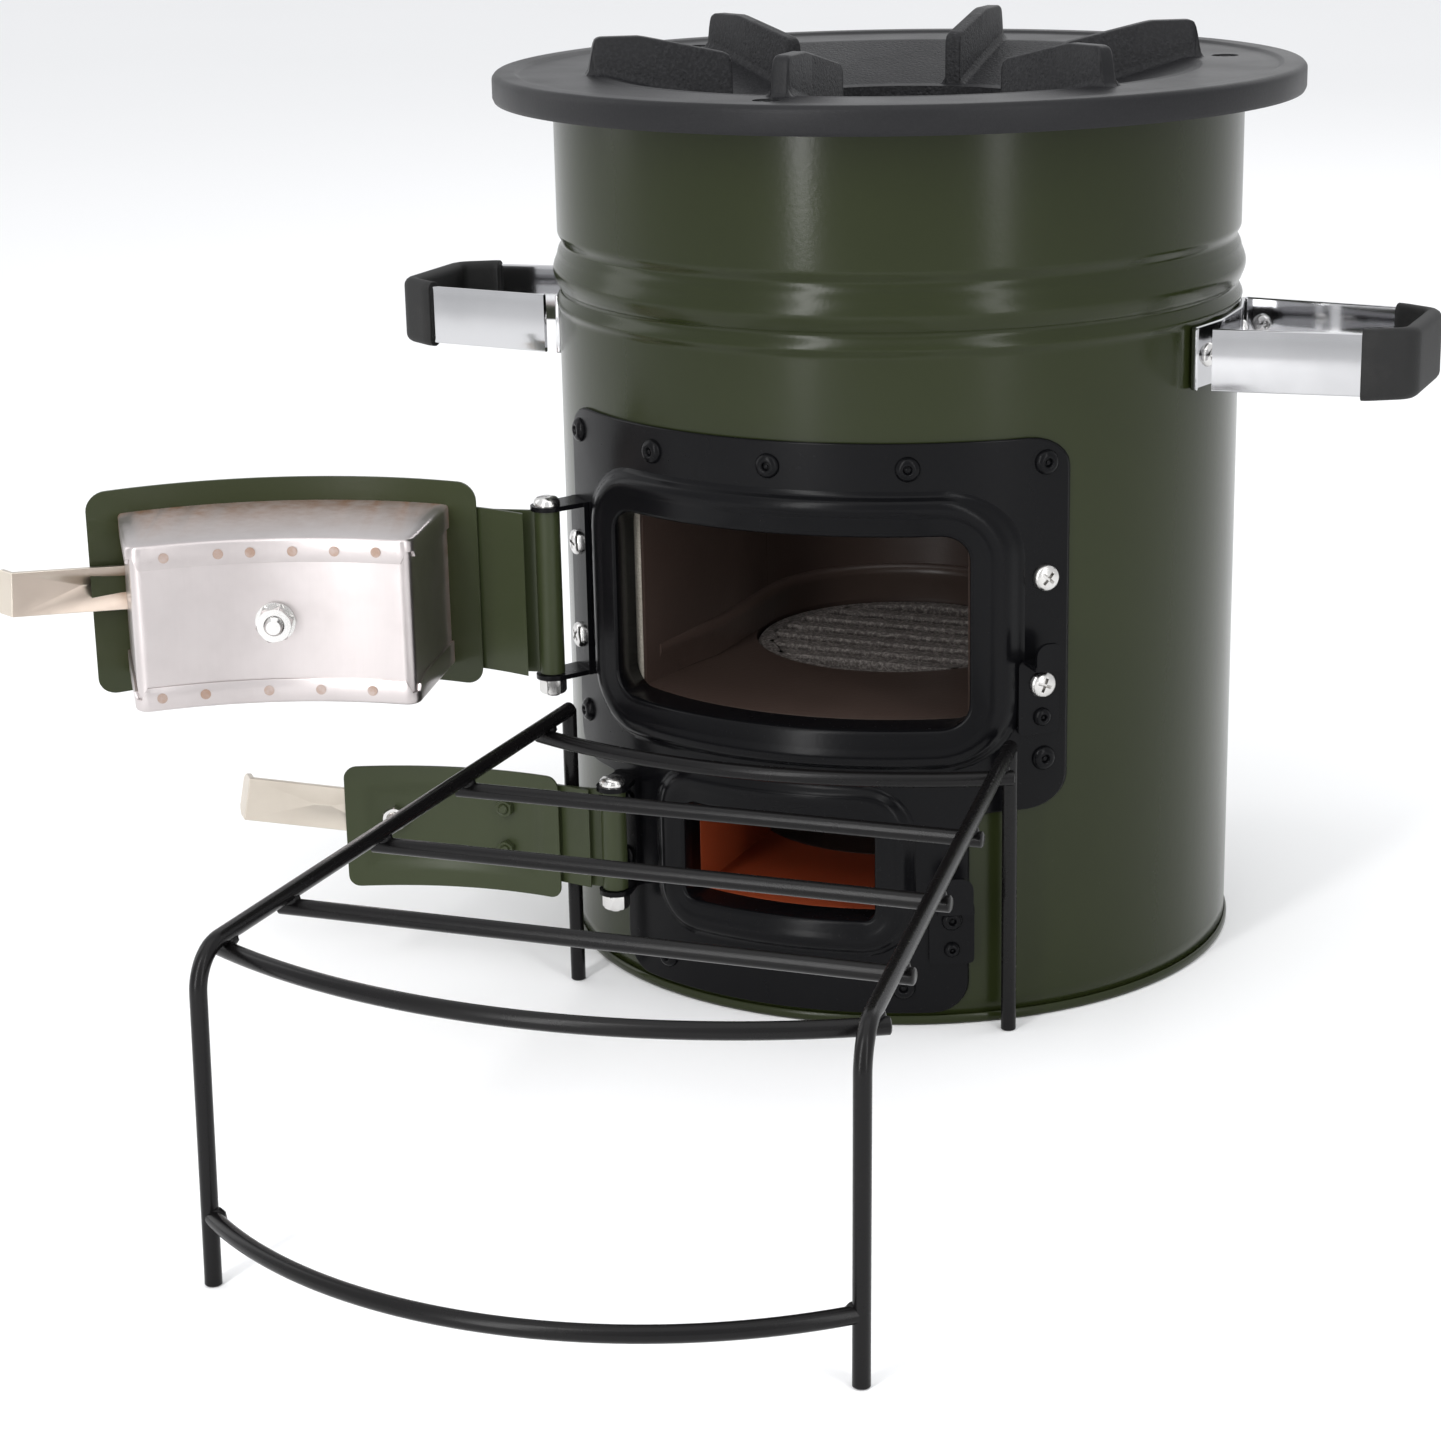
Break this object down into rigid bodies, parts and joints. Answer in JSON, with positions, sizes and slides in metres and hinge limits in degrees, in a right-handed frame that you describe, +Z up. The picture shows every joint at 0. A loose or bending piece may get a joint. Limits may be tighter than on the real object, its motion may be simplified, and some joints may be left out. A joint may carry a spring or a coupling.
{
  "type": "rocket stove",
  "caption": "Round insulated wood-burning stove with a cast cooktop, hinged fuel and air doors with latch levers, carrying handles and a free-standing wire fuel shelf.",
  "frame": {"origin": "middle of the drum's flat underside, on the drum's axis", "axes": "+Z up along the drum's axis, -Y towards the front with both doors and the shelf, +X to the right seen from the front"},
  "size_m": [0.4335, 0.5142, 0.3093],
  "materials": {
    "green_enamel": "gloss olive-green enamel on rolled sheet",
    "door_green": "satin olive-green enamel",
    "cast_iron_top": "black coated casting, sand texture in the bowl",
    "cast_iron_grate": "raw sand-cast iron",
    "black_coat": "semi-gloss black coat",
    "dark_liner": "dark brown glossy liner",
    "red_oxide": "matt red-oxide liner",
    "mineral_fill": "mineral wool",
    "plain_steel": "plain steel sheet",
    "zinc_hardware": "bright zinc plated steel",
    "plug_stainless": "stainless sheet, spot welded",
    "lever_stainless": "satin stainless strap",
    "handle_chrome": "bright chrome plated strap",
    "grip_rubber": "matt black rubber",
    "shelf_black": "semi-gloss black powder coat on wire"
  },
  "bodies": {
    "stove": {"base_pan": "green_enamel", "body_shell": "green_enamel", "insulation": "mineral_fill", "insulation_cover": "plain_steel", "riser": "dark_liner", "fire_cup": "dark_liner", "fuel_duct": "dark_liner", "air_duct": "red_oxide", "cooktop": "cast_iron_top", "cooktop_screws": "black_coat", "cooktop_brackets": "plain_steel", "door_frame": "black_coat", "frame_rivets": "black_coat", "frame_screw": "zinc_hardware", "fuel_catch": "black_coat", "fuel_catch_screw": "zinc_hardware", "fuel_catch_rivet": "black_coat", "air_catch": "black_coat", "air_catch_rivets": "black_coat", "fuel_hinge_bracket": "black_coat", "fuel_hinge_screws": "zinc_hardware", "fuel_hinge_pin": "zinc_hardware", "fuel_hinge_nut": "zinc_hardware", "air_hinge_bracket": "black_coat", "air_hinge_rivets": "black_coat", "air_hinge_pin": "zinc_hardware", "air_hinge_nut": "zinc_hardware", "left_handle": "handle_chrome", "left_grip": "grip_rubber", "left_handle_rivets": "zinc_hardware", "right_handle": "handle_chrome", "right_grip": "grip_rubber", "right_handle_rivets": "zinc_hardware"},
    "grate": {"grate": "cast_iron_grate"},
    "fuel_door": {"fuel_door_panel": "door_green", "fuel_door_arm": "door_green", "plug_box": "plug_stainless", "plug_fill": "mineral_fill", "fuel_door_bolt": "zinc_hardware", "fuel_door_nut": "zinc_hardware"},
    "fuel_lever": {"fuel_latch_lever": "lever_stainless"},
    "air_door": {"air_door_panel": "door_green", "air_door_arm": "door_green", "air_door_nuts": "door_green", "air_lever_pivot": "zinc_hardware"},
    "air_lever": {"air_latch_lever": "lever_stainless"},
    "fuel_shelf": {"shelf_left_rail": "shelf_black", "shelf_right_rail": "shelf_black", "shelf_left_rear_leg": "shelf_black", "shelf_right_rear_leg": "shelf_black", "shelf_bar_1": "shelf_black", "shelf_bar_2": "shelf_black", "shelf_bar_3": "shelf_black", "shelf_front_bar": "shelf_black", "shelf_rear_bar": "shelf_black", "shelf_tie_bar": "shelf_black"}
  },
  "joints": [
    {"name": "fuel_door_hinge", "type": "hinge", "parent": "stove", "child": "fuel_door", "pos_m": [-0.08799, -0.09569, 0.1323], "axis": [0, 0, 1], "range_deg": [-12, 154.6]},
    {"name": "fuel_lever_pivot", "type": "hinge", "parent": "fuel_door", "child": "fuel_lever", "pos_m": [-0.17928, -0.10859, 0.1323], "axis": [-0.4289, 0.9033, 0], "range_deg": [-5.5, 8]},
    {"name": "air_door_hinge", "type": "hinge", "parent": "stove", "child": "air_door", "pos_m": [-0.05848, -0.1133, 0.056], "axis": [0, 0, 1], "range_deg": [0, 168]},
    {"name": "air_lever_pivot", "type": "hinge", "parent": "air_door", "child": "air_lever", "pos_m": [-0.13627, -0.12126, 0.056], "axis": [-0.3584, 0.9336, 0], "range_deg": [-16, 12]},
    {"name": "shelf_lift", "type": "slide", "parent": "stove", "child": "fuel_shelf", "axis": [0, 0, -1], "range_m": [-0.15, 0]},
    {"name": "grate_lift", "type": "slide", "parent": "stove", "child": "grate", "axis": [0, 0, 1], "range_m": [0, 0.225]}
  ]
}
